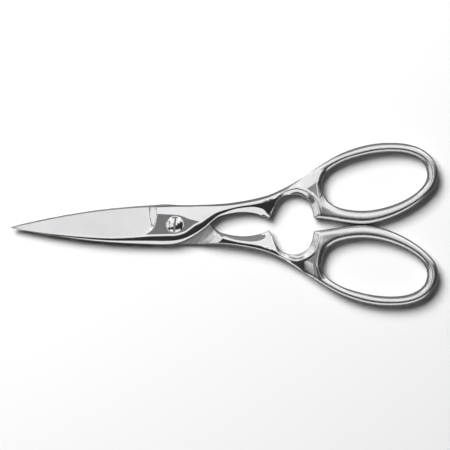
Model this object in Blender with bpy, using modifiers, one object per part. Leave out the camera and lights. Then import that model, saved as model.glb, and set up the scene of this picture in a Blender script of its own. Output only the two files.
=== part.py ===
"""Forged poultry and kitchen shears: two steel halves that cross at a slotted pivot screw.

Frame: metres, +Z up. The origin is on the pivot axis, on the plane that the closed shears lie on.
+X runs from the pivot to the finger bows, the blade tips are at -X, and +Z is the screw-head side.
"""

import math

import bmesh
import bpy
import numpy as np
from mathutils import Matrix

MM = 0.001

# Driving dimensions. Heights with no other note are measured from the mid-plane, where the halves meet.
HALF_DEPTH = 4.0 * MM  # from the mid-plane to the widest line of a bow or a shank
FLAT_HEIGHT = 3.6 * MM  # from the mid-plane to the flat round the pivot
INNER_FACE = 0.15 * MM  # each half's mating face stands this far off the mid-plane
RIM_HEIGHT = 0.55 * MM  # where the rounded surface of a blade or a shank turns into its side
BOW_RIM_HEIGHT = 2.0 * MM  # the same on a bow
CLEARANCE = 0.15 * MM  # between pieces that touch on the real shears
RUNNING_CLEARANCE = 0.08 * MM  # the pivot in the bore that turns on it
BLADE_LEAN = 0.0175  # slope of the line between the blades against the handles' centre line

COUNTERBORE_RADIUS = 4.4 * MM
COUNTERBORE_FLOOR = 1.9 * MM
PIVOT_RADIUS = 2.7 * MM
THREAD_RADIUS = 2.2 * MM
HEAD_RADIUS = 3.75 * MM
HEAD_SEAT = 2.95 * MM
HEAD_RIM = 0.45 * MM
HEAD_CROWN = 4.6 * MM
SLOT_WIDTH = 0.9 * MM
SLOT_FLOOR = 3.5 * MM
SLOT_TURN = math.radians(-6.0)
WASHER_RADIUS = 4.15 * MM
WASHER_THICKNESS = 0.45 * MM
WASHER_DISH = 0.2 * MM
NUT_RADIUS = 4.0 * MM
NUT_SEAT = 1.9 * MM
NUT_SLOT_WIDTH = 1.2 * MM
NUT_SLOT_DEPTH = 0.8 * MM

# Mesh density.
SPAN_STEPS = 2  # stations from one rib to the next
ROUND_STEPS = 3  # rows across each rounded side of a section
FACE_STEPS = 2  # rows across the face between them
TURN_STEPS = 40

# Ribs of one half, from the blade's tip to the web before the bow, in millimetres in the half's own frame.
# Each rib is a section across the half, from its outer side to its inner side:
# outer x, outer y, inner x, inner y, outer rounding, its power, inner rounding, face height, lap.
# A power of 1 is a ground bevel and 2 an ellipse. Lap is 1 where the half is cut back to its mating face.
RIBS = (
    (-76.8, 0.12, -76.8, -0.25, 0.18, 1.0, 0.12, 0.75, 1.0),
    (-74.0, 0.55, -74.0, -0.95, 1.10, 1.0, 0.30, 0.95, 1.0),
    (-70.0, 1.25, -70.0, -1.85, 2.45, 1.0, 0.55, 1.15, 1.0),
    (-60.0, 3.20, -60.0, -3.85, 6.00, 1.0, 0.90, 1.65, 1.0),
    (-50.0, 4.90, -50.0, -5.55, 9.00, 1.0, 1.25, 2.05, 1.0),
    (-40.0, 6.30, -40.0, -7.00, 11.20, 1.0, 1.80, 2.45, 1.0),
    (-30.0, 7.35, -30.0, -8.05, 12.40, 1.0, 2.60, 2.85, 1.0),
    (-20.0, 8.05, -20.0, -8.80, 12.80, 1.0, 3.60, 3.20, 1.0),
    (-12.0, 8.30, -12.0, -9.25, 12.80, 1.0, 4.20, 3.55, 1.0),
    (-8.2, 8.95, -8.0, -9.45, 1.40, 2.0, 4.40, 3.60, 1.0),
    (-4.0, 9.05, -4.0, -9.55, 1.40, 2.0, 4.40, 3.60, 1.0),
    (0.0, 9.10, 0.5, -9.15, 1.40, 2.0, 4.40, 3.60, 1.0),
    (3.4, 9.10, 5.0, -7.65, 1.40, 2.0, 4.20, 3.60, 1.0),
    (6.2, 9.10, 10.0, -4.90, 1.50, 2.0, 4.00, 3.60, 1.0),
    (8.4, 9.12, 14.0, -2.00, 1.60, 2.0, 3.80, 3.65, 1.0),
    (10.6, 9.15, 17.0, 0.60, 1.70, 2.0, 3.60, 3.70, 1.0),
    (14.8, 9.30, 20.5, 3.30, 1.90, 2.0, 3.40, 3.80, 0.3),
    (19.2, 9.55, 24.0, 4.40, 2.20, 2.0, 3.10, 3.90, 0.0),
    (24.5, 9.95, 28.0, 5.20, 2.50, 2.0, 2.90, 4.00, 0.0),
    (30.2, 10.75, 32.0, 5.50, 2.60, 2.0, 2.70, 4.00, 0.0),
    (36.0, 11.80, 37.0, 5.05, 2.70, 2.0, 3.00, 4.00, 0.0),
    (40.0, 12.70, 41.2, 3.90, 2.80, 2.0, 4.60, 4.00, 0.0),
    (43.5, 13.70, 44.2, 2.50, 2.80, 2.0, 7.60, 4.00, 0.0),
    (46.0, 14.70, 45.9, 6.30, 2.80, 2.0, 4.60, 4.00, 0.0),
    (48.5, 15.80, 47.6, 9.70, 2.80, 2.0, 2.80, 4.00, 0.0),
    (51.3, 17.15, 50.0, 12.50, 2.30, 2.0, 2.10, 4.00, 0.0),
    (54.6, 18.95, 53.4, 13.90, 2.40, 2.0, 2.30, 4.00, 0.0),
    (58.0, 20.95, 57.2, 13.90, 2.60, 2.0, 2.40, 3.90, 0.0),
    (61.5, 23.15, 61.0, 12.30, 2.80, 2.0, 2.50, 3.80, 0.0),
    (65.0, 25.55, 63.7, 9.20, 2.90, 2.0, 2.60, 3.75, 0.0),
)
RICASSO_RIB = 8  # the cutting edge ends here
TOOTH_RIB = 22  # the pointed tooth between the two gaps of the handles
SCREW_RIBS = (10, 12)

# Ribs of the bow, going round from the web's outer side: outer x, outer y, hole x, hole y, outer rounding, hole rounding.
BOW_RIBS = (
    (65.0, 25.55, 71.3, 24.7, 2.9, 3.5),
    (70.0, 28.90, 74.2, 26.9, 2.5, 2.5),
    (77.0, 32.90, 79.5, 29.6, 2.1, 2.1),
    (85.0, 35.90, 86.0, 31.6, 2.1, 2.1),
    (93.0, 37.70, 93.0, 33.1, 2.2, 2.2),
    (101.0, 38.20, 100.5, 33.75, 2.15, 2.15),
    (109.0, 37.50, 107.5, 33.3, 2.15, 2.15),
    (116.0, 34.90, 113.2, 31.4, 2.15, 2.15),
    (120.8, 30.40, 116.9, 28.3, 2.15, 2.15),
    (123.1, 24.20, 118.3, 23.8, 2.3, 2.3),
    (121.8, 18.20, 117.4, 19.7, 2.25, 2.25),
    (117.3, 12.80, 114.0, 15.6, 2.15, 2.15),
    (111.0, 8.00, 108.5, 11.9, 2.25, 2.25),
    (103.0, 3.80, 101.5, 8.9, 2.5, 2.5),
    (95.0, 1.15, 94.5, 7.1, 2.8, 2.8),
    (88.0, 0.20, 88.0, 6.45, 3.0, 2.9),
    (80.0, 0.80, 81.0, 6.95, 3.0, 2.9),
    (72.5, 2.05, 75.3, 8.5, 3.0, 3.2),
    (65.2, 3.10, 71.6, 11.0, 3.2, 3.6),
)
# The hole's edge beside the web, from the last bow rib to the first.
WEB_HOLE = ((69.5, 14.6), (68.7, 18.6), (69.4, 21.9))
WEB_HOLE_ROUNDING = 3.8


def catmull_rom(points, steps, corners=(), closed=False):
    """Points along a smooth curve through the given ones, which may kink at the corners."""
    points = np.array(points, float)
    last = len(points)
    spans = last if closed else last - 1
    path = []
    for i in range(spans):
        p1, p2 = points[i], points[(i + 1) % last]
        starts_sharp = not closed and (i == 0 or i in corners)
        ends_sharp = not closed and (i == spans - 1 or i + 1 in corners)
        p0 = 2 * p1 - p2 if starts_sharp else points[i - 1]
        p3 = 2 * p2 - p1 if ends_sharp else points[(i + 2) % last]
        for t in np.arange(steps) / steps:
            path.append(
                0.5
                * (
                    2 * p1
                    + (p2 - p0) * t
                    + (2 * p0 - 5 * p1 + 4 * p2 - p3) * t**2
                    + (3 * p1 - p0 - 3 * p2 + p3) * t**3
                )
            )
    if not closed:
        path.append(points[-1])
    return np.array(path)


def linear(values, steps):
    """Straight interpolation of each column from rib to rib."""
    values = np.array(values, float)
    places = np.arange((len(values) - 1) * steps + 1) / steps
    return np.stack([np.interp(places, range(len(values)), column) for column in values.T], axis=1)


def rounding(share, power):
    """Height of a rounded side, 0 at its edge and 1 where it meets the face."""
    inner = 1 - np.clip(share, 0, 1)
    return (1 - inner**power) ** (1 / power)


def rim_height(x):
    """The rim rises along the shank, from the pivot to the bow. x is in millimetres."""
    share = np.clip((x - 20) / 40, 0, 1)
    return RIM_HEIGHT + (BOW_RIM_HEIGHT - RIM_HEIGHT) * share**2 * (3 - 2 * share)


def section_places(length, outer, inner, face_steps):
    """Distances along a rib, closer together towards both edges."""
    angles = np.linspace(0, math.pi / 2, ROUND_STEPS + 1)
    from_outer = outer * (1 - np.cos(angles))
    from_inner = length - inner * (1 - np.cos(angles))
    face = np.linspace(from_outer[-1], from_inner[-1], face_steps + 1)
    return np.concatenate([from_outer, face[1:-1], from_inner[::-1]])


def half_surface(lean):
    """(strip, ring): grids of (x, y, top, bottom) in metres for a half whose blade leans to +Y or -Y.

    The strip runs from the tip to the web, the ring round the bow. They share the web's last section.
    """
    ribs = np.array(RIBS, float)
    bow = np.array(BOW_RIBS, float)
    leaning = np.clip(-ribs[:, 0], 0, None) * BLADE_LEAN * lean
    leaning_inner = np.clip(-ribs[:, 2], 0, None) * BLADE_LEAN * lean
    ribs[:, 1] += leaning
    ribs[:, 3] += leaning_inner

    outer_line = catmull_rom(np.concatenate([ribs[:, 0:2], bow[1:, 0:2]]), SPAN_STEPS, corners=(RICASSO_RIB,))
    inner_line = catmull_rom(np.concatenate([ribs[:, 2:4], bow[-1:, 0:2]]), SPAN_STEPS, corners=(TOOTH_RIB,))
    stations = (len(ribs) - 1) * SPAN_STEPS + 1
    shape = linear(ribs[:, 4:], SPAN_STEPS)

    strip = []
    for a, b, (outer, power, inner, height, lap) in zip(outer_line, inner_line[:stations], shape):
        length = np.hypot(*(b - a))
        face = 0.04 * length
        fit = min(1.0, (length - face) / (outer + inner))
        outer, inner = outer * fit, inner * fit
        places = section_places(length, outer, inner, FACE_STEPS)
        share = rounding(places / outer, power) * rounding((length - places) / inner, 2)
        rim = rim_height(min(a[0], b[0]))
        top = rim + (height * MM - rim) * share
        bottom = lap * INNER_FACE - (1 - lap) * top
        xy = a + (b - a) * (places / length)[:, None]
        strip.append(np.column_stack([xy * MM, top, bottom]))
    strip = np.array(strip)

    web_top = strip[-1, :, 2]
    web_share = (web_top - BOW_RIM_HEIGHT) / (web_top.max() - BOW_RIM_HEIGHT)
    columns = len(web_share)
    bow_outer = outer_line[stations - 1 :]
    side_outer = inner_line[stations - 1 :][::-1]
    web_line = strip[-1, ::-1, 0:2] / MM
    hole_points = np.concatenate([bow[:, 2:4], np.array(WEB_HOLE)])
    hole = catmull_rom(hole_points, SPAN_STEPS, closed=True)
    bow_stations = len(bow_outer)
    side_stations = len(side_outer) - 1
    web_hole = hole[bow_stations + side_stations - 1 :]
    web_hole = np.concatenate([web_hole, hole[:1]])
    spots = np.linspace(0, len(web_hole) - 1, columns)
    web_hole = np.stack([np.interp(spots, range(len(web_hole)), c) for c in web_hole.T], axis=1)

    outers = np.concatenate([bow_outer, side_outer[1:], web_line[1:-1]])
    holes = np.concatenate([hole[: bow_stations + side_stations - 1], web_hole[:-1]])
    widths = linear(bow[:, 4:6], SPAN_STEPS)
    near_web = len(outers) - len(widths)
    blend = np.linspace(0, 1, near_web + 2)[1:-1, None]
    closing = widths[-1] * (1 - blend) + widths[0] * blend
    bulge = (4 * blend * (1 - blend))[:, 0]
    closing[:, 1] += bulge * (WEB_HOLE_ROUNDING - closing[:, 1])
    widths = np.concatenate([widths, closing])
    start_share = np.concatenate([np.zeros(bow_stations + side_stations), web_share[::-1][1:-1]])
    web_height = web_top.max()
    from_web = np.minimum(np.arange(len(outers)), len(outers) - np.arange(len(outers))) / (2 * SPAN_STEPS)
    crown = HALF_DEPTH + (web_height - HALF_DEPTH) * np.clip(1 - from_web, 0, 1)
    crown[bow_stations - 1 :] = web_height

    ring = []
    for a, b, (outer, inner), begin, height in zip(outers, holes, widths, start_share, crown):
        length = np.hypot(*(b - a))
        fit = min(1.0, 0.96 * length / (outer + inner))
        outer, inner = outer * fit, inner * fit
        places = section_places(length, outer, inner, 1)
        share = begin + (1 - begin) * rounding(places / outer, 2)
        share = share * rounding((length - places) / inner, 2)
        top = BOW_RIM_HEIGHT + (height - BOW_RIM_HEIGHT) * share
        xy = a + (b - a) * (places / length)[:, None]
        ring.append(np.column_stack([xy * MM, top, -top]))
    return strip, np.array(ring)


def half_mesh(name, lean):
    """The closed skin of one half, lofted through its ribs."""
    strip, ring = half_surface(lean)
    columns = strip.shape[1]
    skin = bmesh.new()

    def layer(grid, z_index):
        return [[skin.verts.new((p[0], p[1], p[z_index])) for p in row] for row in grid]

    def quilt(rows, closed_up=False):
        for i in range(len(rows) - (0 if closed_up else 1)):
            here, there = rows[i], rows[(i + 1) % len(rows)]
            for j in range(len(here) - 1):
                skin.faces.new((here[j], here[j + 1], there[j + 1], there[j]))

    edges = []
    for z_index in (2, 3):
        strip_rows = layer(strip, z_index)
        ring_rows = layer(ring, z_index)
        # The ring's stations beside the web start on the strip's last section, so they share its vertices.
        web = strip_rows[-1][::-1]
        first_web = len(ring_rows) - (columns - 2) - 1
        shared = dict(zip(range(first_web, len(ring_rows)), web[:-1]))
        shared[0] = web[-1]
        for station, vertex in shared.items():
            skin.verts.remove(ring_rows[station][0])
            ring_rows[station][0] = vertex
        quilt(strip_rows)
        quilt(ring_rows, closed_up=True)
        outline = [row[0] for row in strip_rows]
        outline += [row[0] for row in ring_rows[1 : first_web + 1]]
        outline += [row[-1] for row in strip_rows[-2::-1]]
        outline += strip_rows[0][-2:0:-1]
        hole = [row[-1] for row in ring_rows]
        edges.append((outline, hole))
    for top_loop, bottom_loop in zip(*edges):
        quilt([[t, b] for t, b in zip(top_loop, bottom_loop)], closed_up=True)
    bmesh.ops.recalc_face_normals(skin, faces=skin.faces)
    if skin.calc_volume(signed=True) < 0:
        bmesh.ops.reverse_faces(skin, faces=skin.faces)
    mesh = bpy.data.meshes.new(name)
    skin.to_mesh(mesh)
    skin.free()
    return mesh


def steel(name, colour, roughness):
    material = bpy.data.materials.new(name)
    material.use_nodes = True
    shader = material.node_tree.nodes["Principled BSDF"]
    shader.inputs["Base Color"].default_value = (*colour, 1.0)
    shader.inputs["Metallic"].default_value = 1.0
    shader.inputs["Roughness"].default_value = roughness
    material.diffuse_color = (*colour, 1.0)
    return material


def placed(name, mesh, collection, material=None):
    obj = bpy.data.objects.new(name, mesh)
    collection.objects.link(obj)
    if material:
        mesh.materials.append(material)
    mesh.shade_smooth()
    mesh.set_sharp_from_angle(angle=math.radians(35))
    return obj


def cylinder_cutter(name, collection, radius, low, high):
    """A round cutter on the pivot axis, between two heights from the mid-plane."""
    cutter = bmesh.new()
    centre = Matrix.Translation((0, 0, (low + high) / 2))
    bmesh.ops.create_cone(
        cutter,
        cap_ends=True,
        segments=TURN_STEPS,
        radius1=radius,
        radius2=radius,
        depth=high - low,
        matrix=centre,
    )
    mesh = bpy.data.meshes.new(name)
    cutter.to_mesh(mesh)
    cutter.free()
    return as_cutter(name, mesh, collection)


def box_cutter(name, collection, size, centre, turn=0.0):
    cutter = bmesh.new()
    place = Matrix.Rotation(turn, 4, "Z") @ Matrix.Translation(centre) @ Matrix.Diagonal((*size, 1))
    bmesh.ops.create_cube(cutter, size=1.0, matrix=place)
    mesh = bpy.data.meshes.new(name)
    cutter.to_mesh(mesh)
    cutter.free()
    return as_cutter(name, mesh, collection)


def as_cutter(name, mesh, collection):
    obj = bpy.data.objects.new(name, mesh)
    collection.objects.link(obj)
    obj.hide_render = True
    obj.display_type = "WIRE"
    return obj


def cut(obj, cutter):
    """The cutter rides on the piece, so that both are laid out in the piece's own frame."""
    cutter.parent = obj
    modifier = obj.modifiers.new(cutter.name, "BOOLEAN")
    modifier.operation = "DIFFERENCE"
    modifier.solver = "EXACT"
    modifier.object = cutter


def turned(name, profile, collection, material):
    """A turned piece: a profile of (radius, height) points, down its outer side, spun about the pivot axis."""
    mesh = bpy.data.meshes.new(name)
    points = [(radius, 0, height) for radius, height in profile]
    mesh.from_pydata(points, [(i, i + 1) for i in range(len(points) - 1)], [])
    obj = placed(name, mesh, collection, material)
    spin = obj.modifiers.new("spin", "SCREW")
    spin.axis = "Z"
    spin.angle = math.tau
    spin.steps = TURN_STEPS
    spin.render_steps = TURN_STEPS
    spin.use_merge_vertices = True
    spin.merge_threshold = 0.00001
    spin.use_smooth_shade = True
    return obj


def ring_profile(inner, outer, low, high, dish=0.0):
    """The closed section of a flat or dished ring, going down its outer side."""
    return (
        (inner, high + dish),
        (outer, high),
        (outer, low),
        (inner, low + dish),
        (inner, high + dish),
    )


def screw_profile():
    """Domed head, bearing shoulder and threaded end."""
    rim = HEAD_SEAT + HEAD_RIM
    rise = HEAD_CROWN - rim
    radius = (HEAD_RADIUS**2 + rise**2) / (2 * rise)
    widest = math.asin(HEAD_RADIUS / radius)
    dome = [
        (radius * math.sin(a), HEAD_CROWN - radius * (1 - math.cos(a)))
        for a in np.linspace(0, widest, 7)
    ]
    return (
        *dome,
        (HEAD_RADIUS, HEAD_SEAT),
        (PIVOT_RADIUS, HEAD_SEAT),
        (PIVOT_RADIUS, 0.0),
        (THREAD_RADIUS, 0.0),
        (THREAD_RADIUS, -HALF_DEPTH),
        (0.0, -HALF_DEPTH),
    )


def build():
    for obj in list(bpy.data.objects):
        bpy.data.objects.remove(obj)
    shears = bpy.data.collections.new("poultry_shears")
    cutters = bpy.data.collections.new("cutters")
    bpy.context.scene.collection.children.link(shears)
    bpy.context.scene.collection.children.link(cutters)
    cutters.hide_render = True

    polished = steel("polished_steel", (0.72, 0.72, 0.74), 0.18)
    hardware = steel("hardware_steel", (0.78, 0.78, 0.79), 0.15)
    axis_point = (0, 0, HALF_DEPTH)
    beyond = 2 * HALF_DEPTH

    front = placed("front_half", half_mesh("front_half", -1), shears, polished)
    front.location = axis_point
    bore = PIVOT_RADIUS + RUNNING_CLEARANCE
    cut(front, cylinder_cutter("front_bore", cutters, bore, -beyond, beyond))
    cut(front, cylinder_cutter("head_counterbore", cutters, COUNTERBORE_RADIUS, COUNTERBORE_FLOOR, beyond))

    # The back half is the same forging turned over about the long axis, with its blade leaning the other way.
    back = placed("back_half", half_mesh("back_half", 1), shears, polished)
    back.location = axis_point
    back.rotation_euler = (math.pi, 0, 0)
    cut(back, cylinder_cutter("back_bore", cutters, THREAD_RADIUS + CLEARANCE, -beyond, beyond))
    cut(back, cylinder_cutter("nut_counterbore", cutters, NUT_RADIUS + CLEARANCE, NUT_SEAT, beyond))

    screw = turned("pivot_screw", screw_profile(), shears, hardware)
    screw.location = axis_point
    slot_size = (SLOT_WIDTH, 3 * HEAD_RADIUS, 2 * (HEAD_CROWN - SLOT_FLOOR))
    cut(screw, box_cutter("screw_slot", cutters, slot_size, (0, 0, HEAD_CROWN), SLOT_TURN))

    washer_low = COUNTERBORE_FLOOR + CLEARANCE
    washer_high = washer_low + WASHER_THICKNESS
    washer_section = ring_profile(bore, WASHER_RADIUS, washer_low, washer_high, WASHER_DISH)
    washer = turned("spring_washer", washer_section, shears, hardware)
    washer.location = axis_point

    nut_high = -NUT_SEAT - CLEARANCE
    nut_section = ring_profile(THREAD_RADIUS + CLEARANCE, NUT_RADIUS, -HALF_DEPTH, nut_high)
    nut = turned("lock_nut", nut_section, shears, hardware)
    nut.location = axis_point
    nut_slot_size = (NUT_SLOT_WIDTH, 3 * NUT_RADIUS, 2 * NUT_SLOT_DEPTH)
    cut(nut, box_cutter("nut_slot", cutters, nut_slot_size, (0, 0, -HALF_DEPTH), math.radians(35)))


build()
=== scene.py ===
"""The looks of the forged poultry shears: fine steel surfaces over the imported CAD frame, in metres."""

import math

import bmesh
import bpy
import numpy as np
from mathutils import Matrix, Vector


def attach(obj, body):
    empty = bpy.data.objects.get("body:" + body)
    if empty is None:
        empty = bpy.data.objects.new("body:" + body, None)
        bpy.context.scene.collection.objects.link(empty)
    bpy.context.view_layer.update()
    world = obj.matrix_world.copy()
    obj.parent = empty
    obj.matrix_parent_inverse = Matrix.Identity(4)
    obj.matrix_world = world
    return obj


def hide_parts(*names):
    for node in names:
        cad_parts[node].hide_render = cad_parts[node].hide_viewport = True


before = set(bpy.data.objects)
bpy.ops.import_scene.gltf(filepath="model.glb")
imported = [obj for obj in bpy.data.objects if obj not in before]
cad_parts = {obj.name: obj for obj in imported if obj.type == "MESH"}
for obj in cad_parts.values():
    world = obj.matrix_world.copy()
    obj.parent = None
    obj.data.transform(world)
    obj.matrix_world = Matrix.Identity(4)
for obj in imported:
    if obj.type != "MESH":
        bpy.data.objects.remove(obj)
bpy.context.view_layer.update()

MM = 0.001

# Sizes that repeat the CAD's, with heights measured from the mid-plane, where the halves meet.
HALF_DEPTH = 4.0 * MM
INNER_FACE = 0.15 * MM
RIM_HEIGHT = 0.55 * MM
BOW_RIM_HEIGHT = 2.0 * MM
BLADE_LEAN = 0.0175
PIVOT_RADIUS = 2.7 * MM
COUNTERBORE_RADIUS = 4.4 * MM
COUNTERBORE_FLOOR = 1.9 * MM
CLEARANCE = 0.15 * MM
RUNNING_CLEARANCE = 0.08 * MM
NUT_BORE_RADIUS = 4.15 * MM
HEAD_RADIUS = 3.75 * MM
HEAD_SEAT = 2.95 * MM
HEAD_RIM = 0.45 * MM
HEAD_CROWN = 4.6 * MM
SLOT_WIDTH = 0.9 * MM
SLOT_FLOOR = 3.5 * MM
SLOT_TURN = math.radians(-6.0)
THREAD_RADIUS = 2.2 * MM

# Sizes of this script's own: the broken edges of the screw head, and how far a cutter passes the half.
HEAD_BREAK = 0.12 * MM
CUTTER_REACH = 10 * MM

# Mesh density: stations from rib to rib, and rows in each zone of a section.
SPAN_STEPS = 10
ROUND_STEPS = 8
ZONE_STEPS = (30, 4, 6, 5)
BOW_ROWS = 21
TURN_STEPS = 96
DOME_STEPS = 14

# Ribs of one half, from the blade's tip to the web before the bow, in millimetres in the half's own frame:
# outer x, outer y, inner x, inner y, then crest and break as distances from the inner edge,
# flat end as a distance from the crest, the crest's height, and lap.
# The crest is the highest line of a section. From it a shallow face falls to the break and a steep one to the
# inner edge. Lap is 1 where the half is cut back to its mating face.
RIBS = (
    (-76.8, 0.12, -76.8, -0.25, 0.10, 0.05, 0.12, 0.85, 1.0),
    (-74.0, 0.55, -74.0, -0.95, 0.30, 0.15, 0.60, 1.10, 1.0),
    (-70.0, 1.25, -70.0, -1.85, 0.50, 0.22, 1.60, 1.40, 1.0),
    (-60.0, 3.20, -60.0, -3.85, 0.85, 0.40, 3.80, 2.00, 1.0),
    (-50.0, 4.90, -50.0, -5.55, 1.25, 0.60, 6.00, 2.45, 1.0),
    (-40.0, 6.30, -40.0, -7.00, 1.70, 0.85, 7.60, 2.85, 1.0),
    (-30.0, 7.35, -30.0, -8.05, 2.10, 1.05, 8.80, 3.15, 1.0),
    (-20.0, 8.05, -20.0, -8.80, 3.00, 1.50, 9.60, 3.45, 1.0),
    (-12.0, 8.30, -12.0, -9.25, 3.90, 1.75, 10.00, 3.65, 1.0),
    (-8.2, 8.95, -8.0, -9.45, 4.15, 1.80, 10.20, 3.75, 1.0),
    (-4.0, 9.05, -4.0, -9.55, 4.30, 1.80, 9.90, 3.80, 1.0),
    (0.0, 9.10, 0.5, -9.15, 3.95, 1.65, 9.60, 3.80, 1.0),
    (3.4, 9.10, 5.0, -7.65, 3.70, 1.25, 7.60, 3.82, 1.0),
    (6.2, 9.10, 10.0, -4.90, 4.10, 1.00, 3.20, 3.84, 1.0),
    (8.4, 9.12, 14.0, -2.00, 3.25, 0.85, 0.90, 3.86, 1.0),
    (10.6, 9.15, 17.0, 0.60, 2.85, 0.80, 0.90, 3.88, 1.0),
    (14.8, 9.30, 20.5, 3.30, 2.50, 0.90, 0.90, 3.90, 0.3),
    (19.2, 9.55, 24.0, 4.40, 2.75, 1.35, 0.90, 3.95, 0.0),
    (24.5, 9.95, 28.0, 5.20, 2.90, 2.00, 0.90, 4.00, 0.0),
    (30.2, 10.75, 32.0, 5.50, 3.20, 2.35, 0.90, 4.00, 0.0),
    (36.0, 11.80, 37.0, 5.05, 4.30, 3.15, 0.90, 4.00, 0.0),
    (40.0, 12.70, 41.2, 3.90, 6.30, 3.40, 0.90, 4.00, 0.0),
    (43.5, 13.70, 44.2, 2.50, 8.70, 1.20, 0.90, 4.00, 0.0),
    (46.0, 14.70, 45.9, 6.30, 5.70, 1.20, 0.90, 4.00, 0.0),
    (48.5, 15.80, 47.6, 9.70, 3.40, 2.40, 0.90, 3.85, 0.0),
    (51.3, 17.15, 50.0, 12.50, 2.20, 1.70, 0.90, 3.55, 0.0),
    (54.6, 18.95, 53.4, 13.90, 2.50, 1.95, 0.90, 3.30, 0.0),
    (58.0, 20.95, 57.2, 13.90, 3.10, 2.60, 0.90, 3.20, 0.0),
    (61.5, 23.15, 61.0, 12.30, 3.10, 2.60, 0.90, 3.40, 0.0),
    (65.0, 25.55, 63.7, 9.20, 3.10, 2.60, 0.90, 3.80, 0.0),
)
OUTER_ROUNDING = 0.95
SHANK_ROUNDING = 1.5
INNER_ROUNDING = 0.5
LIP_WIDTH = 0.9
LIP_SLOPE = math.tan(math.radians(12))  # between the crest and the flat round the pivot
BLADE_SLOPES = np.array([0.13, 0.22])  # outer slope past the flat, first and last
SHANK_SLOPES = np.array([0.12, 0.50])  # the same on the shank, between the pivot and the web
CREST_SLOPES = (math.tan(math.radians(11)), math.tan(math.radians(19)))  # from the crest to the break
BREAK_SLOPE = math.tan(math.radians(32))
RICASSO_RIB = 8
TOOTH_RIB = 22

# Ribs of the bow, from the web's outer side: outer x, outer y, hole x, hole y, outer rounding, hole rounding.
BOW_RIBS = (
    (65.0, 25.55, 71.3, 24.7, 2.9, 3.5),
    (70.0, 28.90, 74.2, 26.9, 2.5, 2.5),
    (77.0, 32.90, 79.5, 29.6, 2.1, 2.1),
    (85.0, 35.90, 86.0, 31.6, 2.1, 2.1),
    (93.0, 37.70, 93.0, 33.1, 2.2, 2.2),
    (101.0, 38.20, 100.5, 33.75, 2.15, 2.15),
    (109.0, 37.50, 107.5, 33.3, 2.15, 2.15),
    (116.0, 34.90, 113.2, 31.4, 2.15, 2.15),
    (120.8, 30.40, 116.9, 28.3, 2.15, 2.15),
    (123.1, 24.20, 118.3, 23.8, 2.3, 2.3),
    (121.8, 18.20, 117.4, 19.7, 2.25, 2.25),
    (117.3, 12.80, 114.0, 15.6, 2.15, 2.15),
    (111.0, 8.00, 108.5, 11.9, 2.25, 2.25),
    (103.0, 3.80, 101.5, 8.9, 2.5, 2.5),
    (95.0, 1.15, 94.5, 7.1, 2.8, 2.8),
    (88.0, 0.20, 88.0, 6.45, 3.0, 2.9),
    (80.0, 0.80, 81.0, 6.95, 3.0, 2.9),
    (72.5, 2.05, 75.3, 8.5, 3.0, 3.2),
    (65.2, 3.10, 71.6, 11.0, 3.2, 3.6),
)
WEB_HOLE = ((69.5, 14.6), (68.7, 18.6), (69.4, 21.9))
WEB_HOLE_ROUNDING = 3.0
BOW_ROUNDING = 2.2
DOME_DEPTH = 2.0

# Where the ground blade face runs out before the pivot, from the cutting edge to the spine, in millimetres.
PLUNGE_LINE = (
    (-13.4, 9.5),
    (-13.2, 6.0),
    (-12.8, 3.5),
    (-12.2, 1.0),
    (-12.3, -1.0),
    (-14.2, -3.2),
    (-17.5, -4.9),
    (-24.0, -6.3),
    (-34.0, -7.6),
)
PLUNGE_FILLET = 3.0
PLUNGE_SLOPE = 0.6
SATIN_FADE = 1.6  # how far up the fillet the satin of the blade fades out
GROUND_BLEND = 0.08  # height difference over which satin turns into polish
SHANK_START, SHANK_EASE_IN = 16.0, 10.0  # where the shank's section takes over, and over what length
SHANK_END, SHANK_EASE_OUT = 54.0, 8.0
RIM_RISE_START, RIM_RISE_LENGTH = 20.0, 40.0
WEB_SLOPE_START, WEB_SLOPE_WIDTH = 45.0, 5.5  # past this x the outer slope is no wider than this
WEB_START, WEB_EASE_IN = 47.0, 4.0
WEB_END = 65.0
CROWN_START, CROWN_EASE_IN = 64.0, 4.0
WEB_RIBS = 2.5  # ribs over which the bow turns from the web's section into its own
LEAST_BODY = 0.2  # a section stands at least this far above its rim
EDGE_HEIGHT = 0.42
CREASE = 0.05


def catmull_rom(points, steps, corners=(), closed=False):
    """Points along a smooth curve through the given ones, which may kink at the corners."""
    points = np.array(points, float)
    last = len(points)
    spans = last if closed else last - 1
    path = []
    for i in range(spans):
        p1, p2 = points[i], points[(i + 1) % last]
        starts_sharp = not closed and (i == 0 or i in corners)
        ends_sharp = not closed and (i == spans - 1 or i + 1 in corners)
        p0 = 2 * p1 - p2 if starts_sharp else points[i - 1]
        p3 = 2 * p2 - p1 if ends_sharp else points[(i + 2) % last]
        for t in np.arange(steps) / steps:
            path.append(
                0.5
                * (
                    2 * p1
                    + (p2 - p0) * t
                    + (2 * p0 - 5 * p1 + 4 * p2 - p3) * t**2
                    + (3 * p1 - p0 - 3 * p2 + p3) * t**3
                )
            )
    if not closed:
        path.append(points[-1])
    return np.array(path)


def eased(values, steps):
    """Each column of values, run smoothly from rib to rib without overshooting."""
    values = np.array(values, float)
    places = np.arange((len(values) - 1) * steps + 1) / steps
    slopes = np.gradient(values, axis=0)
    steps_between = np.diff(values, axis=0)
    for i in range(len(values)):
        before = steps_between[max(i - 1, 0)]
        after = steps_between[min(i, len(steps_between) - 1)]
        limit = 3 * np.minimum(abs(before), abs(after))
        slopes[i] = np.where(before * after <= 0, 0, np.clip(slopes[i], -limit, limit))
    index = np.minimum(places.astype(int), len(values) - 2)
    t = (places - index)[:, None]
    a, b, m, n = values[index], values[index + 1], slopes[index], slopes[index + 1]
    return (
        a * (1 + 2 * t) * (1 - t) ** 2 + m * t * (1 - t) ** 2 + b * t**2 * (3 - 2 * t) - n * t**2 * (1 - t)
    )


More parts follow.
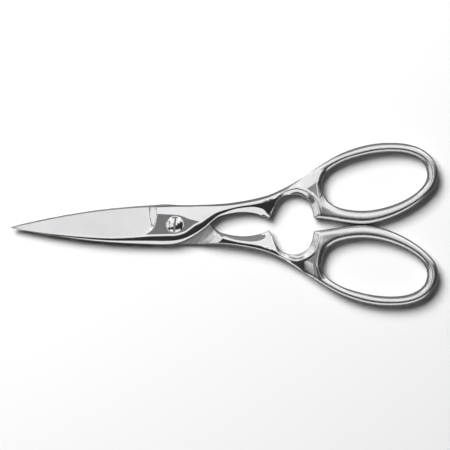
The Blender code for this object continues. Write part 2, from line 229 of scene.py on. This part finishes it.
def elliptic(share):
    """Height of a rounded side, 0 at its edge and 1 where it meets the face."""
    inner = 1 - np.clip(share, 0, 1)
    return np.sqrt(1 - inner**2)


def section_rows(length, crest, edge, flat, fit):
    """Distances along a rib from its outer edge, with rows on the lip, on the crest and on the break."""
    angles = np.linspace(0, math.pi / 2, ROUND_STEPS + 1)
    outer, inner = OUTER_ROUNDING * fit, INNER_ROUNDING * fit
    top = length - crest
    lip = min(LIP_WIDTH, flat)
    knots = [outer, max(outer * 1.05, top - lip), top, length - edge, length - inner]
    rows = [outer * (1 - np.cos(angles))]
    for start, end, steps in zip(knots, knots[1:], ZONE_STEPS):
        rows.append(np.linspace(start, end, steps + 1)[1:])
    rows.append((length - inner * (1 - np.cos(angles)))[::-1][1:])
    return np.concatenate(rows)


def shank_share(x):
    """0 over the blade and the pivot, 1 along the shank, and back to 0 over the web."""
    share = np.clip((x - SHANK_START) / SHANK_EASE_IN, 0, 1)
    share = share * np.clip((SHANK_END - x) / SHANK_EASE_OUT, 0, 1)
    return share**2 * (3 - 2 * share)


def rounding_share(x):
    """0 over the blade and the pivot, 1 along the shank and over the web."""
    share = np.clip((x - SHANK_START) / SHANK_EASE_IN, 0, 1)
    return share**2 * (3 - 2 * share)


def section_height(from_outer, from_inner, x, width, crest, edge, flat, height, rim, fit):
    """Heights across a rib: outer slope, flat, lip, crest, shallow face and steep face."""
    lip = min(LIP_WIDTH, flat)
    out = np.clip(from_inner - crest, 0, None)
    drop = LIP_SLOPE * np.minimum(out, lip)
    past_flat = np.clip(width - from_outer, 0, None)
    first, last = BLADE_SLOPES + (SHANK_SLOPES - BLADE_SLOPES) * shank_share(x)
    drop = drop + first * past_flat + (last - first) * past_flat**2 / (2 * width)
    shallow = np.clip(crest - from_inner, 0, crest - edge)
    first, last = CREST_SLOPES
    drop = drop + first * shallow + (last - first) * shallow**2 / (2 * max(crest - edge, 0.01))
    drop = drop + BREAK_SLOPE * np.clip(edge - from_inner, 0, None)
    body = np.maximum(height - drop, rim + LEAST_BODY)
    outer = OUTER_ROUNDING + (SHANK_ROUNDING - OUTER_ROUNDING) * rounding_share(x)
    rounds = elliptic(from_outer / (outer * fit)) * elliptic(from_inner / (INNER_ROUNDING * fit))
    return rim + (body - rim) * rounds


def outer_width(length, crest, flat, x):
    """How far in from the outer edge the outer slope reaches: to the flat, or less over the web."""
    whole = max(length - crest - flat, 0.01)
    return whole if x < WEB_SLOPE_START else min(whole, WEB_SLOPE_WIDTH)


def rim_height(x):
    """The rim rises along the shank, from the pivot to the bow, in millimetres."""
    share = np.clip((x - RIM_RISE_START) / RIM_RISE_LENGTH, 0, 1)
    return (RIM_HEIGHT + (BOW_RIM_HEIGHT - RIM_HEIGHT) * share**2 * (3 - 2 * share)) / MM


def line_distance(xy, line):
    """Distance of points from a line of many short pieces."""
    start, step = line[:-1], np.diff(line, axis=0)
    gap = xy[:, None] - start[None]
    along = np.clip((gap * step).sum(2) / (step * step).sum(1), 0, 1)
    gap = gap - along[..., None] * step
    return np.sqrt((gap * gap).sum(2).min(1))


def bow_places(length):
    """Distances across a bow, closer together towards both edges."""
    angles = np.linspace(0, math.pi, BOW_ROWS)
    return length * (1 - np.cos(angles)) / 2


def soft_min(a, b, width):
    """The lower of two heights, with the crease between them rounded over about that width."""
    share = np.clip(0.5 + 0.5 * (b - a) / width, 0, 1)
    return b * (1 - share) + a * share - width * share * (1 - share)


def beyond_line(xy, line):
    """Signed distance of points from a line, positive on its left-hand side.

    That is the pivot's side of the plunge line, which runs from the cutting edge to the spine and on
    towards the tip.
    """
    best = np.full(len(xy), np.inf)
    sign = np.ones(len(xy))
    for a, b in zip(line[:-1], line[1:]):
        ab = b - a
        along = np.clip(((xy - a) @ ab) / (ab @ ab), 0, 1)
        gap = xy - (a + along[:, None] * ab)
        far = np.hypot(gap[:, 0], gap[:, 1])
        side = ab[0] * (xy[:, 1] - a[1]) - ab[1] * (xy[:, 0] - a[0])
        nearer = far < best
        best = np.where(nearer, far, best)
        sign = np.where(nearer, np.sign(side), sign)
    return best * sign


def half_surface(lean):
    """(strip, ring, marks): grids of (x, y, top, bottom) in metres.

    The outlines are the CAD's. The heights are this script's own, up to about 1.2 mm off the CAD's: lower
    over the web, and in places higher on the blade and the shank.
    marks holds how much each point of the strip's top is ground blade and of its underside mating face.
    """
    ribs = np.array(RIBS, float)
    bow = np.array(BOW_RIBS, float)
    ribs[:, 1] += np.clip(-ribs[:, 0], 0, None) * BLADE_LEAN * lean
    ribs[:, 3] += np.clip(-ribs[:, 2], 0, None) * BLADE_LEAN * lean
    plunge = np.array(PLUNGE_LINE, float)
    plunge[:, 1] += np.clip(-plunge[:, 0], 0, None) * BLADE_LEAN * lean
    plunge = catmull_rom(plunge, 4)

    outer_line = catmull_rom(np.concatenate([ribs[:, 0:2], bow[1:, 0:2]]), SPAN_STEPS, corners=(RICASSO_RIB,))
    inner_line = catmull_rom(np.concatenate([ribs[:, 2:4], bow[-1:, 0:2]]), SPAN_STEPS, corners=(TOOTH_RIB,))
    stations = (len(ribs) - 1) * SPAN_STEPS + 1
    shape = eased(ribs[:, 4:8], SPAN_STEPS)
    laps = np.interp(np.arange(stations) / SPAN_STEPS, range(len(ribs)), ribs[:, 8])

    strip = []
    marks = []
    for a, b, (crest, edge, flat, height), lap in zip(outer_line, inner_line[:stations], shape, laps):
        length = np.hypot(*(b - a))
        fit = min(1.0, length / 5.0)
        places = section_rows(length, crest, edge, flat, fit)
        xy = a + (b - a) * (places / length)[:, None]
        # Over the web the sections fan out, so distances are square to its edges there.
        from_outer, from_inner = places, length - places
        square = float(np.clip((b[0] - WEB_START) / WEB_EASE_IN, 0, 1))
        if square > 0:
            from_outer = from_outer + square * (line_distance(xy, outer_line) - from_outer)
            from_inner = from_inner + square * (line_distance(xy, inner_line) - from_inner)
        width = outer_width(length, crest, flat, b[0])
        rim = rim_height(min(a[0], b[0]))
        body = section_height(from_outer, from_inner, b[0], width, crest, edge, flat, height, rim, fit)
        past = np.clip(beyond_line(xy, plunge), 0, None)
        start = PLUNGE_SLOPE * PLUNGE_FILLET
        ramp = np.minimum(past, start) ** 2 / (2 * PLUNGE_FILLET)
        ramp = ramp + PLUNGE_SLOPE * np.clip(past - start, 0, None)
        ground = EDGE_HEIGHT + (height - EDGE_HEIGHT) * places / (length - crest) + ramp
        top = soft_min(body, ground, CREASE)
        bottom = lap * INNER_FACE / MM - (1 - lap) * body
        strip.append(np.column_stack([xy, top, bottom]) * MM)
        on_ground = np.clip((body - ground) / GROUND_BLEND + 0.5, 0, 1)
        on_ground = on_ground * np.clip(1 - past / SATIN_FADE, 0, 1)
        marks.append(np.column_stack([on_ground, np.full(len(places), lap)]))
    strip = np.array(strip)

    web_line = strip[-1, ::-1, 0:2] / MM
    bow_outer = outer_line[stations - 1 :]
    side_outer = inner_line[stations - 1 :][::-1]
    hole = catmull_rom(np.concatenate([bow[:, 2:4], np.array(WEB_HOLE)]), SPAN_STEPS, closed=True)
    bow_stations = len(bow_outer)
    side_stations = len(side_outer) - 1
    web_hole = hole[bow_stations + side_stations - 1 :]
    web_hole = np.concatenate([web_hole, hole[:1]])
    # Stations beside the web follow its section's own spacing.
    along = np.concatenate([[0], np.cumsum(np.hypot(*np.diff(web_line, axis=0).T))])
    spots = along / along[-1] * (len(web_hole) - 1)
    web_hole = np.stack([np.interp(spots, range(len(web_hole)), c) for c in web_hole.T], axis=1)
    outers = np.concatenate([bow_outer, side_outer[1:], web_line[1:-1]])
    holes = np.concatenate([hole[: bow_stations + side_stations - 1], web_hole[:-1]])
    hole_loop = np.concatenate([hole, hole[:1]])

    # Widths of the bow's rounded sides, and how far it has turned from the web's section into its own.
    widths = eased(bow[:, 4:6], SPAN_STEPS)
    beside_web = np.tile([BOW_ROUNDING, WEB_HOLE_ROUNDING], (len(outers) - len(widths), 1))
    blend = np.sin(math.pi * np.linspace(0, 1, len(beside_web) + 2)[1:-1])[:, None]
    ends = widths[-1] + (widths[0] - widths[-1]) * np.linspace(0, 1, len(beside_web))[:, None]
    widths = np.concatenate([widths, ends + blend * (beside_web - ends)])
    station = np.arange(len(outers))
    from_web = np.minimum(station, bow_stations - 1 + side_stations - station).clip(0)
    turned = np.clip(from_web / (WEB_RIBS * SPAN_STEPS), 0, 1)
    turned = turned**2 * (3 - 2 * turned)

    crest, edge, flat, height = shape[-1]
    length = np.hypot(*(outer_line[stations - 1] - inner_line[stations - 1]))
    width = outer_width(length, crest, flat, inner_line[stations - 1][0])
    rim = BOW_RIM_HEIGHT / MM
    ring = []
    for a, b, (outer, inner), share in zip(outers, holes, widths, turned):
        length = np.hypot(*(b - a))
        places = bow_places(length)
        xy = a + (b - a) * (places / length)[:, None]
        from_outer = line_distance(xy, outer_line)
        from_inner = line_distance(xy, inner_line)
        rise = np.clip((xy[:, 0] - CROWN_START) / CROWN_EASE_IN, 0, 1)
        crown = height + (HALF_DEPTH / MM - height) * rise**2 * (3 - 2 * rise)
        web = section_height(from_outer, from_inner, WEB_END, width, crest, edge, flat, crown, rim, 1.0)
        outside = np.minimum(from_outer, from_inner)
        own = HALF_DEPTH / MM - DOME_DEPTH * (1 - elliptic(outside / outer))
        top = web + (own - web) * share
        from_hole = line_distance(xy, hole_loop)
        top = top - DOME_DEPTH * (1 - elliptic(from_hole / inner))
        ring.append(np.column_stack([xy, top, -top]) * MM)
    return strip, np.array(ring), np.array(marks)


def half_mesh(name, lean):
    """The closed skin of one half, with its ground blade and mating faces marked in point attributes."""
    strip, ring, marks = half_surface(lean)
    columns = strip.shape[1]
    skin = bmesh.new()
    ground = skin.verts.layers.float.new("ground")
    mating = skin.verts.layers.float.new("mating")

    def layer(grid, z_index):
        return [[skin.verts.new((p[0], p[1], p[z_index])) for p in row] for row in grid]

    def quilt(rows, closed_up=False):
        for i in range(len(rows) - (0 if closed_up else 1)):
            here, there = rows[i], rows[(i + 1) % len(rows)]
            for j in range(len(here) - 1):
                skin.faces.new((here[j], here[j + 1], there[j + 1], there[j]))

    edges = []
    for z_index in (2, 3):
        strip_rows = layer(strip, z_index)
        ring_rows = layer(ring, z_index)
        mark = ground if z_index == 2 else mating
        for row, values in zip(strip_rows, marks[:, :, z_index - 2]):
            for vertex, value in zip(row, values):
                vertex[mark] = value
        # The ring's stations beside the web start on the strip's last section, so they share its vertices.
        web = strip_rows[-1][::-1]
        first_web = len(ring_rows) - (columns - 2) - 1
        shared = dict(zip(range(first_web, len(ring_rows)), web[:-1]))
        shared[0] = web[-1]
        for station, vertex in shared.items():
            skin.verts.remove(ring_rows[station][0])
            ring_rows[station][0] = vertex
        quilt(strip_rows)
        quilt(ring_rows, closed_up=True)
        outline = [row[0] for row in strip_rows]
        outline += [row[0] for row in ring_rows[1 : first_web + 1]]
        outline += [row[-1] for row in strip_rows[-2::-1]]
        outline += strip_rows[0][-2:0:-1]
        hole = [row[-1] for row in ring_rows]
        edges.append((outline, hole))
    for top_loop, bottom_loop in zip(*edges):
        quilt([[t, b] for t, b in zip(top_loop, bottom_loop)], closed_up=True)
    bmesh.ops.recalc_face_normals(skin, faces=skin.faces)
    if skin.calc_volume(signed=True) < 0:
        bmesh.ops.reverse_faces(skin, faces=skin.faces)
    mesh = bpy.data.meshes.new(name)
    skin.to_mesh(mesh)
    skin.free()
    return mesh


def steel_nodes(name):
    """A new material's node tree and its Principled shader."""
    material = bpy.data.materials.new(name)
    material.use_nodes = True
    tree = material.node_tree
    return material, tree, tree.nodes["Principled BSDF"]


def noise(tree, scale, detail=3.0, stretch=(1, 1, 1), roughness=0.5):
    """A noise pattern in object space, stretched along the axes."""
    coordinates = tree.nodes.new("ShaderNodeTexCoord")
    mapping = tree.nodes.new("ShaderNodeMapping")
    mapping.inputs["Scale"].default_value = stretch
    texture = tree.nodes.new("ShaderNodeTexNoise")
    texture.inputs["Scale"].default_value = scale
    texture.inputs["Detail"].default_value = detail
    texture.inputs["Roughness"].default_value = roughness
    tree.links.new(coordinates.outputs["Object"], mapping.inputs["Vector"])
    tree.links.new(mapping.outputs["Vector"], texture.inputs["Vector"])
    return texture.outputs["Fac"]


def along_x(tree, start, end):
    """0 before start and 1 past end, in metres along the object's own X axis."""
    coordinates = tree.nodes.new("ShaderNodeTexCoord")
    split = tree.nodes.new("ShaderNodeSeparateXYZ")
    tree.links.new(coordinates.outputs["Object"], split.inputs["Vector"])
    return spread(tree, split.outputs["X"], 0.0, 1.0, start, end)


def spread(tree, value, low, high, start=0.3, end=0.7):
    """A value from the pattern, mapped onto a range."""
    remap = tree.nodes.new("ShaderNodeMapRange")
    remap.inputs["From Min"].default_value = start
    remap.inputs["From Max"].default_value = end
    remap.inputs["To Min"].default_value = low
    remap.inputs["To Max"].default_value = high
    tree.links.new(value, remap.inputs["Value"])
    return remap.outputs["Result"]


def mixed(tree, share, a, b):
    """a where share is 0 and b where it is 1."""
    mix = tree.nodes.new("ShaderNodeMix")
    mix.data_type = "FLOAT"
    tree.links.new(share, mix.inputs[0])
    for value, socket in ((a, mix.inputs[2]), (b, mix.inputs[3])):
        tree.links.new(value, socket)
    return mix.outputs[0]


def colour_mixed(tree, share, a, b):
    """Colour a where share is 0 and colour b where it is 1."""
    mix = tree.nodes.new("ShaderNodeMix")
    mix.data_type = "RGBA"
    mix.inputs[6].default_value = (*a, 1)
    mix.inputs[7].default_value = (*b, 1)
    tree.links.new(share, mix.inputs[0])
    return mix.outputs[2]


def bumped(tree, height, strength, distance, normal=None):
    """A normal bumped by a pattern, on top of another one if there is one."""
    bump = tree.nodes.new("ShaderNodeBump")
    bump.inputs["Strength"].default_value = strength
    bump.inputs["Distance"].default_value = distance
    tree.links.new(height, bump.inputs["Height"])
    if normal:
        tree.links.new(normal, bump.inputs["Normal"])
    return bump.outputs["Normal"]


def forged_steel():
    """Mirror-polished forging with a satin-ground blade face, picked by the ground attribute."""
    material, tree, shader = steel_nodes("forged_steel")
    shader.inputs["Metallic"].default_value = 1.0
    ground = tree.nodes.new("ShaderNodeAttribute")
    ground.attribute_name = "ground"
    on_blade = ground.outputs["Fac"]
    smudges = noise(tree, 120, 4.0)
    scratches = noise(tree, 900, 4.0, (0.25, 1.6, 1.0))
    grind_lines = noise(tree, 2600, 3.0, (1.0, 0.035, 1.0))
    waviness = noise(tree, 260, 2.0)
    tint = colour_mixed(tree, smudges, (0.70, 0.70, 0.715), (0.80, 0.80, 0.805))
    # Mating faces get a darker base colour, painted shade where one half lies over the other; their satin
    # roughness is their own.
    mating = tree.nodes.new("ShaderNodeAttribute")
    mating.attribute_name = "mating"
    mating_painted_shade = tree.nodes.new("ShaderNodeMix")
    mating_painted_shade.data_type = "RGBA"
    mating_painted_shade.inputs[7].default_value = (0.46, 0.46, 0.47, 1)
    tree.links.new(mating.outputs["Fac"], mating_painted_shade.inputs[0])
    tree.links.new(tint, mating_painted_shade.inputs[6])
    tree.links.new(mating_painted_shade.outputs[2], shader.inputs["Base Color"])
    # The handles are worn a little duller than the steel round the pivot.
    crisp = spread(tree, smudges, 0.06, 0.14)
    worn = spread(tree, smudges, 0.20, 0.28)
    polish = mixed(tree, along_x(tree, 0.045, 0.070), crisp, worn)
    satin = spread(tree, grind_lines, 0.30, 0.40)
    finish = mixed(tree, on_blade, polish, satin)
    tree.links.new(mixed(tree, mating.outputs["Fac"], finish, satin), shader.inputs["Roughness"])
    fine = bumped(tree, scratches, 0.10, 0.00001)
    soft = bumped(tree, waviness, 0.12, 0.00004, fine)
    lines = mixed(tree, on_blade, spread(tree, scratches, 0.45, 0.55), grind_lines)
    tree.links.new(bumped(tree, lines, 0.07, 0.00001, soft), shader.inputs["Normal"])
    return material


def turned_steel(name, base):
    """Polished hardware with faint turning marks round the pivot axis."""
    material, tree, shader = steel_nodes(name)
    shader.inputs["Metallic"].default_value = 1.0
    coordinates = tree.nodes.new("ShaderNodeTexCoord")
    rings = tree.nodes.new("ShaderNodeTexWave")
    rings.wave_type = "RINGS"
    rings.rings_direction = "Z"
    rings.inputs["Scale"].default_value = 900
    rings.inputs["Distortion"].default_value = 0.6
    tree.links.new(coordinates.outputs["Object"], rings.inputs["Vector"])
    smudges = noise(tree, 400, 3.0)
    darker = tuple(0.88 * c for c in base)
    tree.links.new(colour_mixed(tree, smudges, darker, base), shader.inputs["Base Color"])
    tree.links.new(spread(tree, smudges, 0.07, 0.16), shader.inputs["Roughness"])
    tree.links.new(bumped(tree, rings.outputs["Fac"], 0.06, 0.00001), shader.inputs["Normal"])
    return material


def linked(name, mesh, material):
    """A new smooth object with its material, in the scene."""
    obj = bpy.data.objects.new(name, mesh)
    bpy.context.scene.collection.objects.link(obj)
    mesh.materials.append(material)
    mesh.shade_smooth()
    return obj


def cut(obj, cutter_mesh, name):
    """Cuts a mesh out of obj for good, and throws the cutter away."""
    cutter = bpy.data.objects.new(name, cutter_mesh)
    bpy.context.scene.collection.objects.link(cutter)
    modifier = obj.modifiers.new(name, "BOOLEAN")
    modifier.operation = "DIFFERENCE"
    modifier.solver = "EXACT"
    modifier.object = cutter
    bake_modifiers(obj)
    bpy.data.objects.remove(cutter)


def bake_modifiers(obj):
    """Replaces obj's mesh by what its modifiers make of it."""
    bpy.context.view_layer.update()
    graph = bpy.context.evaluated_depsgraph_get()
    evaluated = obj.evaluated_get(graph)
    made = bpy.data.meshes.new_from_object(evaluated, preserve_all_data_layers=True, depsgraph=graph)
    obj.modifiers.clear()
    old = obj.data
    obj.data = made
    bpy.data.meshes.remove(old)


def drum(name, radius, low, high):
    """A round cutter on the pivot axis."""
    body = bmesh.new()
    bmesh.ops.create_cone(
        body,
        cap_ends=True,
        segments=TURN_STEPS,
        radius1=radius,
        radius2=radius,
        depth=high - low,
        matrix=Matrix.Translation((0, 0, (low + high) / 2)),
    )
    mesh = bpy.data.meshes.new(name)
    body.to_mesh(mesh)
    body.free()
    return mesh


def half(name, lean, turned_over, bores, material, node, body):
    """One half in place, bored for the pivot, riding on its CAD body in place of its CAD node."""
    obj = linked(name, half_mesh(name, lean), material)
    for index, (radius, low, high) in enumerate(bores):
        cut(obj, drum(f"{name}_bore_{index}", radius, low, high), f"{name}_bore_{index}")
    place = Matrix.Translation((0, 0, HALF_DEPTH))
    if turned_over:
        place = place @ Matrix.Rotation(math.pi, 4, "X")
    obj.data.transform(place)
    obj.data.set_sharp_from_angle(angle=math.radians(40))
    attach(obj, body)
    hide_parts(node)
    return obj


def pivot_screw(material):
    """The domed head with its slot, softly broken at every edge, on a plain shank."""
    rim = HEAD_SEAT + HEAD_RIM
    rise = HEAD_CROWN - rim
    radius = (HEAD_RADIUS**2 + rise**2) / (2 * rise)
    widest = math.asin(HEAD_RADIUS / radius)
    tilts = np.linspace(0, widest, DOME_STEPS)
    profile = [(radius * math.sin(a), HEAD_CROWN - radius * (1 - math.cos(a))) for a in tilts]
    profile += [
        (HEAD_RADIUS, HEAD_SEAT),
        (PIVOT_RADIUS, HEAD_SEAT),
        (PIVOT_RADIUS, 0.0),
        (THREAD_RADIUS, 0.0),
        (THREAD_RADIUS, -HALF_DEPTH),
        (0.0, -HALF_DEPTH),
    ]
    mesh = bpy.data.meshes.new("slotted_pivot_screw")
    mesh.from_pydata([(r, 0, z) for r, z in profile], [(i, i + 1) for i in range(len(profile) - 1)], [])
    obj = linked("slotted_pivot_screw", mesh, material)
    spin = obj.modifiers.new("spin", "SCREW")
    spin.angle = math.tau
    spin.steps = TURN_STEPS
    spin.render_steps = TURN_STEPS
    spin.use_merge_vertices = True
    spin.merge_threshold = 0.00001
    spin.use_normal_calculate = True
    bake_modifiers(obj)
    slot_box = bmesh.new()
    size = (SLOT_WIDTH, 3 * HEAD_RADIUS, 2 * (HEAD_CROWN - SLOT_FLOOR))
    turn = Matrix.Rotation(SLOT_TURN, 4, "Z")
    place = turn @ Matrix.Translation((0, 0, HEAD_CROWN)) @ Matrix.Diagonal((*size, 1))
    bmesh.ops.create_cube(slot_box, size=1.0, matrix=place)
    slot_mesh = bpy.data.meshes.new("slot")
    slot_box.to_mesh(slot_mesh)
    slot_box.free()
    cut(obj, slot_mesh, "slot")
    bevel = obj.modifiers.new("broken_edges", "BEVEL")
    bevel.width = HEAD_BREAK
    bevel.segments = 3
    bevel.limit_method = "ANGLE"
    bevel.angle_limit = math.radians(35)
    bake_modifiers(obj)
    head = bmesh.new()
    head.from_mesh(obj.data)
    bmesh.ops.dissolve_degenerate(head, dist=0.002 * MM, edges=head.edges)
    head.to_mesh(obj.data)
    head.free()
    obj.data.transform(Matrix.Translation((0, 0, HALF_DEPTH)))
    obj.data.shade_smooth()
    obj.data.set_sharp_from_angle(angle=math.radians(30))
    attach(obj, "back_body")
    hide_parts("pivot_screw")
    return obj


def floor():
    """A pale sheet that the shears lie on, painted dark grey where the steel reflects it."""
    sheet = bmesh.new()
    bmesh.ops.create_grid(sheet, x_segments=1, y_segments=1, size=1.5)
    mesh = bpy.data.meshes.new("floor")
    sheet.to_mesh(mesh)
    sheet.free()
    material, tree, shader = steel_nodes("pale_floor_painted_dark_in_reflections")
    # Painted reflection: glossy rays see the floor dark grey, not pale, as when the shears stand off a
    # separately lit backdrop.
    path = tree.nodes.new("ShaderNodeLightPath")
    shade = colour_mixed(tree, path.outputs["Is Glossy Ray"], (0.9, 0.9, 0.9), (0.16, 0.16, 0.16))
    tree.links.new(shade, shader.inputs["Base Color"])
    shader.inputs["Roughness"].default_value = 0.9
    shader.inputs["Specular IOR Level"].default_value = 0.1
    obj = linked("floor", mesh, material)
    obj.location = (0.0234, 0, -0.00005)


def softbox(name, centre, size, radiance, lights_floor, target=(0.02, 0, 0)):
    """A rectangular studio light facing the shears. It either lights the floor or shows in the steel."""
    light = bpy.data.lights.new(name, "AREA")
    light.shape = "RECTANGLE"
    light.size, light.size_y = size
    light.energy = radiance * math.pi * size[0] * size[1]
    obj = bpy.data.objects.new(name, light)
    bpy.context.scene.collection.objects.link(obj)
    obj.location = centre
    away = Vector(centre) - Vector(target)
    obj.rotation_euler = away.to_track_quat("Z", "Y").to_euler()
    obj.visible_glossy = not lights_floor
    obj.visible_diffuse = lights_floor


def studio():
    """A key light that lights only the floor, and cards that show only in the steel, dim overhead."""
    softbox("key_light", (-0.40, 0.57, 1.02), (0.68, 0.68), 15.2, True)
    softbox("far_card", (0.0, 0.72, 1.10), (2.3, 1.05), 1.06, False)
    softbox("near_card", (0.05, -1.15, 0.60), (2.2, 0.8), 1.0, False)
    softbox("far_low_card", (0.0, 1.35, 0.45), (2.0, 0.95), 0.28, False)
    softbox("tip_card", (-1.30, -0.05, 0.52), (1.0, 0.9), 1.0, False)
    softbox("corner_card", (-0.97, 0.93, 0.42), (0.95, 0.75), 1.0, False)
    softbox("left_card", (-0.66, -0.13, 1.15), (0.68, 0.75), 0.95, False)
    softbox("far_right_card", (0.87, 0.83, 0.45), (0.9, 0.7), 0.9, False)
    softbox("right_card", (0.27, 0.10, 1.28), (0.5, 0.26), 0.95, False)
    softbox("overhead_card", (0.0, 0.0, 1.4), (0.5, 0.5), 0.20, False)
    world = bpy.data.worlds.new("studio")
    world.use_nodes = True
    world.node_tree.nodes["Background"].inputs["Color"].default_value = (0.035, 0.035, 0.036, 1)
    bpy.context.scene.world = world


def camera():
    """Straight above, with a long lens, the width of the picture spanning 210.8 mm at the shears."""
    lens = bpy.data.cameras.new("camera")
    lens.lens = 150
    lens.sensor_width = 36
    obj = bpy.data.objects.new("camera", lens)
    bpy.context.scene.collection.objects.link(obj)
    obj.location = (0.0234, -0.0002, 0.2108 * 150 / 36 + HALF_DEPTH)
    bpy.context.scene.camera = obj


steel = forged_steel()
front_bores = (
    (PIVOT_RADIUS + RUNNING_CLEARANCE, -CUTTER_REACH, CUTTER_REACH),
    (COUNTERBORE_RADIUS, COUNTERBORE_FLOOR, CUTTER_REACH),
)
back_bores = (
    (THREAD_RADIUS + CLEARANCE, -CUTTER_REACH, CUTTER_REACH),
    (NUT_BORE_RADIUS, COUNTERBORE_FLOOR, CUTTER_REACH),
)
half("front_blade_and_bow", -1, False, front_bores, steel, "front_half", "front_body")
half("back_blade_and_bow", 1, True, back_bores, steel, "back_half", "back_body")
hardware = turned_steel("hardware_steel_look", (0.82, 0.82, 0.825))
pivot_screw(hardware)
for node in ("spring_washer", "lock_nut"):
    for material_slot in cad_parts[node].material_slots:
        material_slot.material = hardware
floor()
studio()
camera()
bpy.context.scene.view_settings.view_transform = "Standard"
